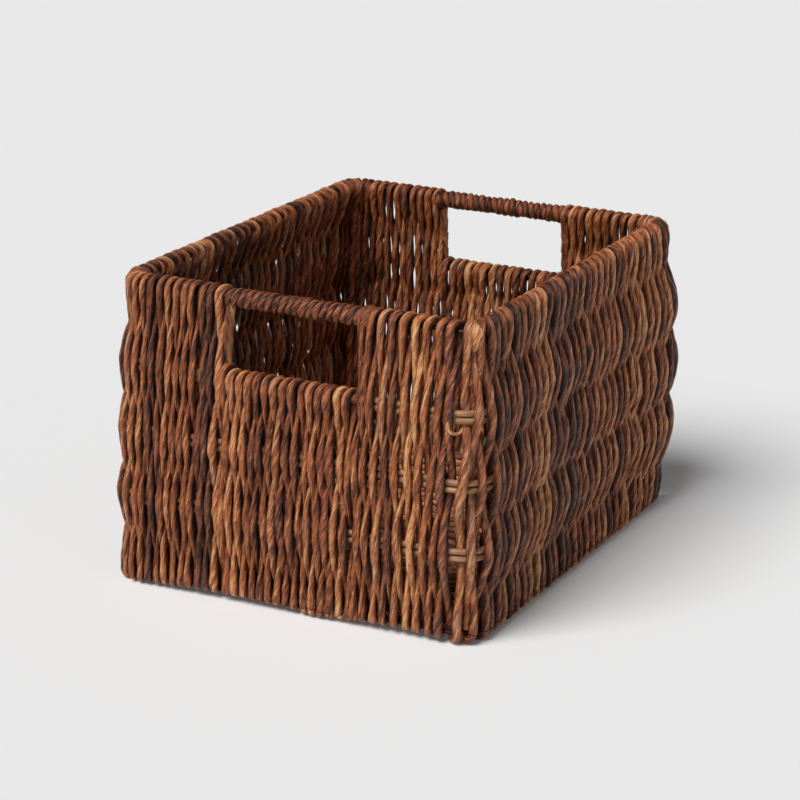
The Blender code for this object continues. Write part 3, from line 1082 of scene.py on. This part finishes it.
@dataclass
class LongLoops:
    """The two long walls and the base, in cords that go right round the basket."""

    pitch: float = 12.4 * MM
    arc_pitch: float = 6.5 * MM
    open_corner: float = 7.6 * MM
    loops: int = 31
    level_half: float = 3.3 * MM
    cross_half: float = 3.2 * MM
    sway: float = 1.1 * MM
    drift: float = 1.1 * MM
    place_scatter: float = 0.05
    seed: int = 9

    def spacing(self, wall: Wall) -> Spacing:
        """Places of the loops along a long wall, counted from the front.

        Args:
            wall: Right or left wall.

        Returns:
            The spacing, which is closer where a corner fans the cords out.
        """
        length = LINES.wall_length(wall)
        arc = LINES.corner_arc()
        front = self.open_corner if wall is Wall.RIGHT else self.arc_pitch
        stops = (
            (0.0, front),
            (arc, front if wall is Wall.RIGHT else self.arc_pitch * 1.25),
            (arc + 18 * MM, self.pitch),
            (length - arc - 18 * MM, self.pitch),
            (length - arc, self.arc_pitch * 1.25),
            (length, self.arc_pitch),
        )
        return Spacing(length, stops, self.loops)

    def wall_pass(
        self, rng: np.random.Generator, wall: Wall, along: float, side: Pass, pitch: float, fullness: float
    ) -> tuple[np.ndarray, np.ndarray, np.ndarray, np.ndarray]:
        """One pass up a long wall.

        Args:
            rng: Source of variation.
            wall: Right or left wall.
            along: Place along the right wall; the left wall mirrors it.
            side: Side of the rim wire.
            pitch: Distance between loops.
            fullness: Factor on the cord's width.

        Returns:
            Points, sides, half widths and half depths from the foot up.
        """
        length = LINES.wall_length(wall)
        place = along if wall is Wall.RIGHT else length - along
        calm = min(1.0, pitch / self.pitch) ** 1.5
        plan = PassPlan(
            wall=wall,
            along=place,
            side=side,
            level_half=min(self.level_half, max(0.52 * pitch, 3.1 * MM)),
            cross_half=min(self.cross_half, max(0.27 * pitch, 2.1 * MM)),
            top=LINES.rim_height,
            drift=float(rng.normal(0.0, self.drift)) * calm,
            sway=Sway.draw(rng, self.sway * calm),
            fullness=fullness * float(rng.uniform(0.92, 1.08)),
            crossing_shifts=tuple(float(rng.normal(0.0, CROSSING_SCATTER)) for _ in range(4)),
            fan=OPEN_FAN if wall is Wall.RIGHT and along < length / 2 else FAN,
        )
        points, sides, half, deep = plan.climb()
        return points, sides if wall is Wall.RIGHT else -sides, half, deep

    def base_pass(self, start: np.ndarray, end: np.ndarray, outer: bool) -> tuple[np.ndarray, np.ndarray]:
        """A pass under the basket between the feet of the two walls.

        Args:
            start: Foot of the pass on one long wall.
            end: Foot of the pass on the other.
            outer: Whether the pass comes from outside the foot wires.

        Returns:
            Points and sides, without the ends.
        """
        lines = LINES
        sign = 1.0 if end[0] > start[0] else -1.0
        radius = lines.rim_loop
        inset = radius if outer else -radius
        reach, far = (abs(float(foot[0])) - inset for foot in (start, end))
        xs, zs = [], []
        if outer:
            angle = np.linspace(0.0, math.pi / 2, 10)[1:]
            xs.append(-reach - radius * np.cos(angle))
            zs.append(lines.foot_height - radius * np.sin(angle))
            edge_x, edge_z = -reach, lines.foot_height - radius
        else:
            edge_x, edge_z = -reach + radius, lines.foot_height
        stops = [edge_x, *lines.base_pairs, far if outer else far - radius]
        side = 1.0 if outer else -1.0
        heights = [edge_z]
        for _ in lines.base_pairs:
            heights.append(lines.base_height + side * lines.reed_loop)
            side = -side
        heights.append(edge_z)
        for k, (a, b) in enumerate(zip(stops, stops[1:])):
            t = np.linspace(0.0, 1.0, 28)[1:]
            if not outer and k == 0:
                # Down the inside of the wall, then round into the base
                ease = np.sin(math.pi / 2 * t)
                xs.append(a + (b - a) * (1 - np.cos(math.pi / 2 * t)))
                zs.append(heights[k] + (heights[k + 1] - heights[k]) * ease)
            elif not outer and k == len(stops) - 2:
                xs.append(a + (b - a) * np.sin(math.pi / 2 * t))
                zs.append(heights[k] + (heights[k + 1] - heights[k]) * (1 - np.cos(math.pi / 2 * t)))
            else:
                xs.append(a + (b - a) * t)
                zs.append(heights[k] + (heights[k + 1] - heights[k]) * (0.5 - 0.5 * np.cos(math.pi * t)))
        if outer:
            angle = np.linspace(math.pi / 2, 0.0, 10)[1:-1]
            xs.append(far + radius * np.cos(angle))
            zs.append(lines.foot_height - radius * np.sin(angle))
        x = np.concatenate(xs)
        z = np.concatenate(zs)
        if not outer:
            x, z = x[:-1], z[:-1]  # the foot of the wall follows as the last point
        share = (x - x[0]) / (x[-1] - x[0])
        x = x * sign
        y = start[1] + (end[1] - start[1]) * (0.5 - 0.5 * np.cos(math.pi * share))
        return np.column_stack([x, y, z]), repeat((0.0, 1.0, 0.0), len(x))

    def weave(self, book: WeaveBook) -> None:
        """Lay all the long loops.

        Args:
            book: Gets the runs.
        """
        rng = np.random.default_rng(SEED + self.seed)
        lines = LINES
        length = lines.wall_length(Wall.RIGHT)
        spacings = {wall: self.spacing(wall) for wall in (Wall.RIGHT, Wall.LEFT)}
        for k in range(self.loops):
            shift = float(rng.normal(0.0, self.place_scatter))
            fullness = float(rng.uniform(0.9, 1.1))
            look = {
                "tone": float(rng.uniform(0.0, 1.0)),
                "chance": float(rng.uniform(0.0, 1.0)),
                "twist_mm": float(rng.uniform(34.0, 95.0)),
                "lobes": int(rng.choice([2, 3, 3])),
                "lobe_depth": float(rng.uniform(0.03, 0.1)),
            }
            walls = {}
            for wall, spacing in spacings.items():
                pitch = spacing.at(k + 1) - spacing.at(k)
                first, second = (spacing.at(k + part) + shift * pitch for part in (0.25, 0.75))
                up = self.wall_pass(rng, wall, first, Pass.OUTER_AT_RIM, pitch, fullness)
                down = self.wall_pass(rng, wall, second, Pass.INNER_AT_RIM, pitch, fullness)
                a, b = (first, second) if wall is Wall.RIGHT else (length - first, length - second)
                over, over_sides = half_turn(wall, a, b, 0.0, lines.rim_height, lines.rim_loop, True)
                if wall is Wall.LEFT:
                    over_sides = -over_sides
                over_half = np.full(len(over), min(self.level_half, max(0.54 * pitch, 3.1 * MM)) * fullness)
                over_deep = np.full(len(over), lines.cord_radius)
                sections = (up, (over, over_sides, over_half, over_deep), tuple(part[::-1] for part in down))
                walls[wall] = tuple(np.concatenate(parts) for parts in zip(*sections))
            early = k < self.loops / 2
            for wall, part in walls.items():
                run = CordRun(*part, phase=float(rng.uniform(0.0, 6.28)), **look)
                book.add(cords_name(f"{wall.name.lower()}_wall", early), run)
            right, left = walls[Wall.RIGHT][0], walls[Wall.LEFT][0]
            for outer in (True, False):
                start, end = (left[0], right[0]) if outer else (left[-1], right[-1])
                points, sides = self.base_pass(start, end, outer)
                points = np.vstack([start[None, :], points, end[None, :]])
                sides = np.vstack([sides[:1], sides, sides[-1:]])
                half = np.full(len(points), self.cross_half * 1.05 * fullness)
                deep = np.full(len(points), lines.cord_radius)
                run = CordRun(points, sides, half, deep, phase=float(rng.uniform(0.0, 6.28)), **look)
                book.add(cords_name("base", early), run)


@dataclass
class Reeds:
    """Pairs of rattan reed in the walls and the base."""

    shaper: CordShaper
    finish: bpy.types.Material
    radius: float = 2.25 * MM
    spacing: float = 2.5 * MM
    butt_gap: float = 0.6 * MM
    hand_end: float = 54.9 * MM
    base_end: float = 169.4 * MM
    rng: np.random.Generator = field(default_factory=lambda: np.random.default_rng(SEED + 31))

    def stretch(self, wall: Wall, start: float, end: float, level: int, shift: float) -> np.ndarray:
        """Part of a reed along one wall.

        Args:
            wall: Wall that it runs along.
            start: Where it starts along the wall.
            end: Where it ends along the wall.
            level: Number of the reed pair, lowest first.
            shift: Height above the middle of the pair.

        Returns:
            Points along its centre line.
        """
        along = np.linspace(start, end, max(8, int((end - start) / (2.0 * MM))))
        z = LINES.levels[level] + shift + LINES.reed_rise(wall, along, level)
        return LINES.place(wall, along, LINES.middle(wall, along, z), z)[0]

    def route(self, legs: Sequence[tuple[Wall, float, float]], level: int, shift: float) -> np.ndarray:
        """Join the stretches of a reed round corners.

        Args:
            legs: Each stretch's wall, start and end.
            level: Number of the reed pair, lowest first.
            shift: Height above the middle of the pair.

        Returns:
            Points along its centre line.
        """
        parts = [self.stretch(wall, start, end, level, shift) for wall, start, end in legs]
        return np.vstack([part if k == 0 else part[1:] for k, part in enumerate(parts)])

    def lay(self, points: np.ndarray, side: Sequence[float], piece: str, node: str) -> None:
        """Build one reed in place of its CAD node.

        Args:
            points: Its centre line.
            side: Sideways direction, square to the reed.
            piece: Name of the piece.
            node: The CAD node.
        """
        radii = np.full(len(points), self.radius)
        run = CordRun(
            points,
            repeat(side, len(points)),
            radii,
            radii,
            tone=float(self.rng.uniform(0.2, 0.8)),
            chance=float(self.rng.uniform(0.0, 1.0)),
            twist_mm=900.0,
            lobes=2,
            lobe_depth=0.015,
        )
        stand_for(self.shaper.mesh_object(piece, [run], self.finish), [node])

    def weave(self) -> None:
        """Build every reed in place of its CAD node."""
        short, long = LINES.wall_length(Wall.FRONT), LINES.wall_length(Wall.RIGHT)
        hoop = (
            (Wall.BACK, short / 2 + self.butt_gap / 2, short),
            (Wall.LEFT, 0.0, long),
            (Wall.FRONT, 0.0, short),
            (Wall.RIGHT, 0.0, long),
            (Wall.BACK, 0.0, short / 2 - self.butt_gap / 2),
        )
        levels = [("low", 0, hoop), ("middle", 1, hoop)]
        for before, wall, after in ((Wall.FRONT, Wall.RIGHT, Wall.BACK), (Wall.BACK, Wall.LEFT, Wall.FRONT)):
            legs = (
                (before, short / 2 + self.hand_end, short),
                (wall, 0.0, long),
                (after, 0.0, short / 2 - self.hand_end),
            )
            levels.append((f"high_{wall.name.lower()}", 2, legs))
        for name, level, legs in levels:
            for row, sign in (("lower", -1), ("upper", 1)):
                points = self.route(legs, level, sign * self.spacing)
                self.lay(points, (0.0, 0.0, 1.0), f"rattan_{name}_{row}", f"reed_{name}_{row}")
        y = np.linspace(-self.base_end, self.base_end, 60)
        for pair, x in enumerate(LINES.base_pairs, start=1):
            for letter, sign in (("a", -1), ("b", 1)):
                points = np.column_stack(
                    [np.full(60, x + sign * self.spacing), y, np.full(60, LINES.base_height)]
                )
                place = f"{pair}{letter}"
                self.lay(points, (1.0, 0.0, 0.0), f"rattan_base_{place}", f"base_reed_{place}")


CORNERS = ("front_right", "back_right", "back_left", "front_left")


@dataclass
class CornerPosts:
    """Corner posts bound with a flat strip of fibre, and the wide loop that caps each corner."""

    low: float = 11.0 * MM
    high: float = 217.0 * MM
    radius: float = 3.3 * MM
    head_radius: float = 4.3 * MM
    head_start: float = 178.0 * MM
    head_run: float = 12.0 * MM
    cap_half: float = 5.2 * MM
    cap_depth: float = 2.5 * MM
    cap_foot: float = 208.0 * MM
    cap_tuck: float = 3.4 * MM

    def bind(self, shaper: CordShaper, finish: bpy.types.Material) -> None:
        """Build the bound posts.

        Args:
            shaper: Makes the tubes.
            finish: Material of the strip.
        """
        rng = np.random.default_rng(SEED + 41)
        for corner, place in enumerate(CORNERS):
            wall = Wall(corner)
            z = np.linspace(self.low, self.high, 120)
            along = np.zeros_like(z)
            out = LINES.frame_middle(z) + LINES.bulge(wall, along, z)
            points, sides = LINES.place(wall, along, out, z)
            head = np.clip((z - self.head_start) / self.head_run, 0, 1)
            half = self.radius + (self.head_radius - self.radius) * head
            run = CordRun(
                points,
                sides,
                half,
                half * 0.98,
                tone=float(rng.uniform(0.2, 0.6)),
                chance=0.1,
                twist_mm=38.0,
                lobes=2,
                lobe_depth=0.03,
                strip_mm=9.0,
                strip_step=0.17,
            )
            piece = shaper.mesh_object(f"bound_post_{place}", [run], finish)
            stand_for(piece, [f"corner_post_{place}", f"post_wrap_{place}"])

    def caps(self, book: WeaveBook) -> None:
        """Lay the wide loop over each corner of the rim.

        Args:
            book: Gets the runs.
        """
        rng = np.random.default_rng(SEED + 43)
        for corner in range(4):
            wall = Wall(corner)
            up = np.linspace(self.cap_foot, LINES.rim_height, 12)
            tuck = self.cap_tuck * np.linspace(1.0, 0.0, 12) ** 2
            angle = np.linspace(0.0, math.pi, 16)[1:-1]
            reach = LINES.rim_loop + 0.6 * MM
            out = np.concatenate([reach - tuck, reach * np.cos(angle), -reach + tuck[::-1]])
            z = np.concatenate([up, LINES.rim_height + (reach - 0.3 * MM) * np.sin(angle), up[::-1]])
            out = out + LINES.frame_middle(z) + LINES.bulge(wall, np.zeros_like(z), z)
            points, sides = LINES.place(wall, np.zeros_like(z), out, z)
            share = np.linspace(0, 1, len(z))
            half = self.cap_half * np.clip(0.7 + 2.0 * np.minimum(share, 1 - share), 0.0, 1.0)
            run = CordRun(
                points,
                sides,
                half,
                np.full(len(z), self.cap_depth),
                tone=float(rng.uniform(0.6, 0.95)),
                twist_mm=60.0,
                lobe_depth=0.05,
            )
            book.add(cords_name(f"{wall.name.lower()}_wall", True), run)


@dataclass
class HandHoles:
    """The bound grips over the hand holes and the strip-bound wires at their sides."""

    half_width: float = 57.0 * MM
    coil_radius: float = 4.4 * MM
    pitch: float = 10.4 * MM
    cord_half_width: float = 2.7 * MM
    cord_half_depth: float = 2.5 * MM
    side_x: float = 52.0 * MM
    side_radius: float = 3.4 * MM
    bend: float = 8.0 * MM
    knot_inner: float = 8.5 * MM
    knot_outer: float = 0.5 * MM
    knot_radius: float = 5.0 * MM
    knot_pitch: float = 6.8 * MM
    knot_half: float = 3.3 * MM
    knot_turn: float = 2.2

    def coil(
        self,
        face: int,
        start: float,
        end: float,
        radius: float,
        pitch: float,
        half: float,
        turn: float,
        rng: np.random.Generator,
        taper: float = 0.0,
    ) -> CordRun:
        """A cord wound round the rim wire.

        Args:
            face: -1 for the front, 1 for the back.
            start: Where the winding starts across the wall.
            end: Where it ends.
            radius: Radius of the winding's centre line.
            pitch: Advance of one turn.
            half: Half width of the cord.
            turn: Angle at the start.
            rng: Source of variation.
            taper: Share of the winding over which its ends thin out.

        Returns:
            The run.
        """
        count = int(abs(end - start) / pitch * 40) + 8
        x = np.linspace(start, end, count)
        angle = turn + (x - start) / pitch * 2 * math.pi
        wobble = 1.0 + 0.05 * np.sin(x / (9.0 * MM) + turn) + 0.03 * np.sin(x / (3.7 * MM))
        y = face * (LINES.depth / 2) + radius * wobble * np.cos(angle) * face
        z = LINES.rim_height + radius * wobble * np.sin(angle)
        share = np.linspace(0.0, 1.0, count)
        if taper:
            ends = np.clip(np.minimum(share, 1 - share) / taper, 0.25, 1.0)
        else:
            ends = np.ones(count)
        halves = half * (1.0 + 0.1 * np.sin(x / (6.1 * MM) + 2.0 * turn)) * ends
        return CordRun(
            np.column_stack([x, y, z]),
            repeat((1.0, 0.0, 0.0), count),
            halves,
            halves * self.cord_half_depth / self.cord_half_width,
            tone=float(rng.uniform(0.0, 0.35)),
            chance=float(rng.uniform(0.0, 0.4)),
            twist_mm=24.0,
            lobe_depth=0.07,
        )

    def wind(self, shaper: CordShaper, cord: bpy.types.Material, strip: bpy.types.Material) -> None:
        """Build the grips and side bindings in place of their CAD nodes.

        Args:
            shaper: Makes the tubes.
            cord: Material of the grips.
            strip: Material of the side strips.
        """
        rng = np.random.default_rng(SEED + 53)
        for face, name in ((-1, "front"), (1, "back")):
            edge = self.half_width
            runs = [
                self.coil(face, -edge, edge, self.coil_radius, self.pitch, self.cord_half_width, turn, rng)
                for turn in (0.3, 0.3 + math.pi)
            ]
            # The cord's end is wound over itself at the right of the grip, seen from outside
            inner, outer = -face * (edge - self.knot_inner), -face * (edge + self.knot_outer)
            knot = (self.knot_radius, self.knot_pitch, self.knot_half, self.knot_turn)
            runs.append(self.coil(face, inner, outer, *knot, rng, taper=0.3))
            piece = shaper.mesh_object(f"bound_grip_{name}", runs, cord)
            stand_for(piece, [f"handle_grip_{name}"])
            for side, place in ((-1, "left"), (1, "right")):
                run = self.side_run(face, side, rng)
                piece = shaper.mesh_object(f"bound_side_{name}_{place}", [run], strip)
                stand_for(piece, [f"handle_side_wrap_{name}_{place}"])

    def side_run(self, face: int, side: int, rng: np.random.Generator) -> CordRun:
        """A strip wound on the upright wire at one side of a hand hole.

        Args:
            face: -1 for the front, 1 for the back.
            side: -1 for the left, 1 for the right.
            rng: Source of variation.

        Returns:
            The run, from the rim down and round the bend.
        """
        lines = LINES
        low = lines.levels[2]
        straight = np.linspace(lines.rim_height - 3 * MM, low + self.bend, 40)
        angle = np.linspace(0.0, math.pi / 2, 12)[1:]
        x = np.concatenate([np.full(40, self.side_x), self.side_x - self.bend * (1 - np.cos(angle))])
        z = np.concatenate([straight, low + self.bend - self.bend * np.sin(angle)])
        share = (lines.rim_height - z) / (lines.rim_height - low)
        out = share * (lines.reed_standoff + lines.frame_middle(low))
        half = np.full(len(x), self.side_radius)
        return CordRun(
            np.column_stack([side * x, face * (lines.depth / 2 + out), z]),
            repeat((0.0, 1.0, 0.0), len(x)),
            half,
            half,
            tone=float(rng.uniform(0.6, 0.85)),
            twist_mm=55.0 * side,
            lobes=2,
            lobe_depth=0.02,
            strip_mm=12.0 * side,
            strip_step=0.2,
        )


@dataclass
class LooseEnds:
    """Hooked cord ends and stray fibres that hand work leaves."""

    count: int = 300
    shortest: float = 4.0 * MM
    longest: float = 9.0 * MM
    radius: float = 0.22 * MM
    outer_share: float = 0.75
    lowest: float = 1.0 * MM
    highest: float = 229.0 * MM

    def hook(self, book: WeaveBook) -> None:
        """Lay the cord end that curls out of the front wall near its right corner.

        Args:
            book: Gets the run.
        """
        path = (
            (119.4, 168, 2.5),
            (119.5, 163, 5.2),
            (119.7, 158.6, 6.8),
            (120.3, 155.4, 7.8),
            (121.7, 153.6, 8.3),
            (123.4, 153.9, 8.3),
            (124.3, 155.9, 7.8),
            (124.4, 158, 7.0),
        )
        knots = np.array(path) * MM
        t = np.linspace(0, len(knots) - 1, 60)
        x, z, rise = (np.interp(t, np.arange(len(knots)), knots[:, k]) for k in range(3))
        kernel = np.ones(7) / 7
        x, z, rise = (np.convolve(np.pad(v, 3, mode="edge"), kernel, mode="valid") for v in (x, z, rise))
        along = x + LINES.wall_length(Wall.FRONT) / 2
        points, _ = LINES.place(Wall.FRONT, along, LINES.middle(Wall.FRONT, along, z) + rise, z)
        ahead = np.gradient(points, axis=0)
        sides = np.cross(ahead, np.array([0.0, -1.0, 0.0]))
        half = np.interp(np.linspace(0, 1, 60), [0, 0.4, 0.85, 1], [1.6, 1.5, 1.2, 0.6]) * MM
        run = CordRun(points, sides, half, half * 0.9, tone=1.0, twist_mm=20.0)
        book.add(cords_name("front_wall", False), run)

    def strays(self, book: WeaveBook) -> list[CordRun]:
        """Fine fibres that lift off the cords.

        Args:
            book: Runs that the fibres lift from.

        Returns:
            One thin run for each fibre.
        """
        rng = np.random.default_rng(SEED + 61)
        panels = sorted(name for name in book.runs if not name.startswith("base"))
        pool = [run for name in panels for run in book.runs[name]]
        found = []
        for _ in range(self.count):
            cord = pool[int(rng.integers(len(pool)))]
            k = int(rng.integers(6, len(cord.points) - 6))
            start = cord.points[k]
            ahead = cord.points[k + 3] - cord.points[k - 3]
            ahead = ahead / np.linalg.norm(ahead) * float(rng.choice([-1, 1]))
            side = cord.sides[k]
            lift = np.cross(ahead, side)
            outwards = np.array([start[0], start[1], 0.0])
            if np.dot(lift, outwards) * (1 if rng.random() < self.outer_share else -1) < 0:
                lift = -lift
            length = float(rng.uniform(self.shortest, self.longest))
            t = np.linspace(0.0, 1.0, 9)[:, None]
            bend = float(rng.uniform(-0.35, 0.35))
            rise = float(rng.uniform(0.03, 0.2))
            base = start + lift * cord.half_depths[k] * 0.97
            points = base + ahead * length * t + side * bend * length * t**2 + lift * rise * length * t**1.6
            half = self.radius * np.linspace(1.0, 0.35, 9)
            if points[:, 2].min() < self.lowest or points[:, 2].max() > self.highest:
                continue
            run = CordRun(points, repeat(side, 9), half, half, twist_mm=900.0, lobes=2, lobe_depth=0.0)
            run.tone = float(rng.uniform(0.7, 1.0))
            found.append(run)
        return found


# ---------------------------------------------------------------- studio


@dataclass(frozen=True)
class Studio:
    """Pale floor, soft lights and the camera."""

    azimuth: float = -24.86
    elevation: float = 16.89
    roll: float = 1.6
    distance: float = 2158.7 * MM
    aim_height: float = 114.0 * MM
    shift_right: float = -3.56 * MM
    shift_up: float = -6.11 * MM
    lens: float = 131.13
    floor_half: float = 30.0
    sky_strength: float = 0.1

    def camera(self) -> bpy.types.Object:
        """Place the camera.

        Returns:
            The camera, set as the scene's.
        """
        turn, tilt, roll = (math.radians(a) for a in (self.azimuth, self.elevation, self.roll))
        ahead = Vector((math.sin(turn) * math.cos(tilt), math.cos(turn) * math.cos(tilt), -math.sin(tilt)))
        level = ahead.cross(Vector((0, 0, 1))).normalized()
        upright = level.cross(ahead)
        right = math.cos(roll) * level + math.sin(roll) * upright
        up = -math.sin(roll) * level + math.cos(roll) * upright
        spot = Vector((0, 0, self.aim_height)) - ahead * self.distance
        spot += right * self.shift_right + up * self.shift_up
        data = bpy.data.cameras.new("studio_camera")
        data.lens = self.lens
        data.sensor_width = 36.0
        data.clip_start, data.clip_end = 0.05, 50.0
        camera = bpy.data.objects.new("studio_camera", data)
        bpy.context.scene.collection.objects.link(camera)
        turned = Matrix((right, up, -ahead)).transposed().to_4x4()
        camera.matrix_world = Matrix.Translation(spot) @ turned
        bpy.context.scene.camera = camera
        return camera

    def sun(
        self, name: str, towards: tuple[float, float, float], spread: float, strength: float
    ) -> bpy.types.Object:
        """Place a far, broad light that reaches the whole floor evenly.

        Args:
            name: Name of the light.
            towards: Direction from the basket to the light.
            spread: Width of the light in degrees, as seen from the basket.
            strength: Its strength in watts per square metre.

        Returns:
            The light.
        """
        data = bpy.data.lights.new(name, "SUN")
        data.angle = math.radians(spread)
        data.energy = strength
        lamp = bpy.data.objects.new(name, data)
        bpy.context.scene.collection.objects.link(lamp)
        facing = Vector(towards).to_track_quat("Z", "Y").to_matrix().to_4x4()
        lamp.matrix_world = Matrix.Translation(Vector(towards) * 3.0) @ facing
        return lamp

    def build(self) -> None:
        """Set up the floor, lights, sky and camera."""
        bpy.ops.mesh.primitive_plane_add(size=2 * self.floor_half, location=(0.0, 0.0, 0.0))
        floor = bpy.context.active_object
        floor.name = "studio_floor"
        floor.data.materials.append(StudioPaper().build())
        self.sun("key_light", towards=(-0.22, -0.8, 1.0), spread=37.0, strength=3.6)
        self.sun("side_light", towards=(1.0, -0.4, 0.12), spread=30.0, strength=0.2)
        world = bpy.data.worlds.new("studio_sky")
        bpy.context.scene.world = world
        world.use_nodes = True
        sky = world.node_tree.nodes["Background"]
        sky.inputs["Color"].default_value = srgb("#FFFFFF")
        sky.inputs["Strength"].default_value = self.sky_strength
        bpy.context.scene.view_settings.view_transform = "Standard"
        self.camera()


# ---------------------------------------------------------------- main


def stand_for(piece: bpy.types.Object, nodes: Iterable[str]) -> None:
    """Put a finished piece on the basket in place of CAD nodes.

    Args:
        piece: The finished piece.
        nodes: CAD nodes that it stands for.
    """
    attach(piece, "root")
    if nodes:
        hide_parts(*nodes)
    faces = sum(len(p.vertices) - 2 for p in piece.data.polygons)
    LOG.info("%s: %d triangles", piece.name, faces)


def dress_cad_nodes() -> None:
    """Give the frame's wires their finish."""
    wire = BlackenedWire().build()
    for name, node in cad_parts.items():
        if any(word in name for word in ("rim_wire", "handle_frame")):
            for slot in node.material_slots:
                slot.material = wire


def main() -> None:
    """Build every piece of the basket and the studio."""
    logging.basicConfig(level=logging.INFO, format="%(name)s: %(message)s")
    bpy.ops.object.select_all(action="DESELECT")
    dress_cad_nodes()
    book = WeaveBook()
    length = LINES.wall_length(Wall.FRONT)
    front = (
        (0.0, 4.6 * MM),
        (9.5 * MM, 5.2 * MM),
        (16 * MM, 6.5 * MM),
        (0.55 * length, 6.7 * MM),
        (0.78 * length, 7.7 * MM),
        (0.9 * length, 9.0 * MM),
        (length, 7.4 * MM),
    )
    back = (
        (0.0, 4.8 * MM),
        (9.5 * MM, 5.4 * MM),
        (16 * MM, 6.9 * MM),
        (length - 16 * MM, 6.9 * MM),
        (length - 9.5 * MM, 5.4 * MM),
        (length, 4.8 * MM),
    )
    ShortWall(Wall.FRONT, front, seed=1).weave(book)
    ShortWall(Wall.BACK, back, 3.6 * MM, cross_share=0.33, sway=0.8 * MM, drift=0.6 * MM, seed=2).weave(book)
    LongLoops().weave(book)
    posts, holes, ends = CornerPosts(), HandHoles(), LooseEnds()
    posts.caps(book)
    ends.hook(book)
    cord = TwistedFibreCord("twisted_fibre_cord").build()
    strip = TwistedFibreCord(
        "flat_fibre_strip",
        body="#8A5232",
        warm="#A56C42",
        rubbed_and_highlight="#CF9F68",
        streak_mm=(0.9, 20.0),
        roughness=0.45,
    ).build()
    shaper = CordShaper()
    for name, runs in book.runs.items():
        piece = shaper.mesh_object(name, runs, cord)
        node = "base_weave" if name.startswith("base") else name.split("_cords")[0] + "_weave"
        stand_for(piece, [node])
    Reeds(CordShaper(station=2.5 * MM), PeeledRattan().build()).weave()
    posts.bind(CordShaper(station=1.2 * MM, facets=18), cord)
    holes.wind(CordShaper(station=1.3 * MM), cord, strip)
    strays = CordShaper(station=1.5 * MM, facets=4).mesh_object("stray_fibres", ends.strays(book), strip)
    stand_for(strays, [])
    Studio().build()


if __name__ == "__main__":
    main()
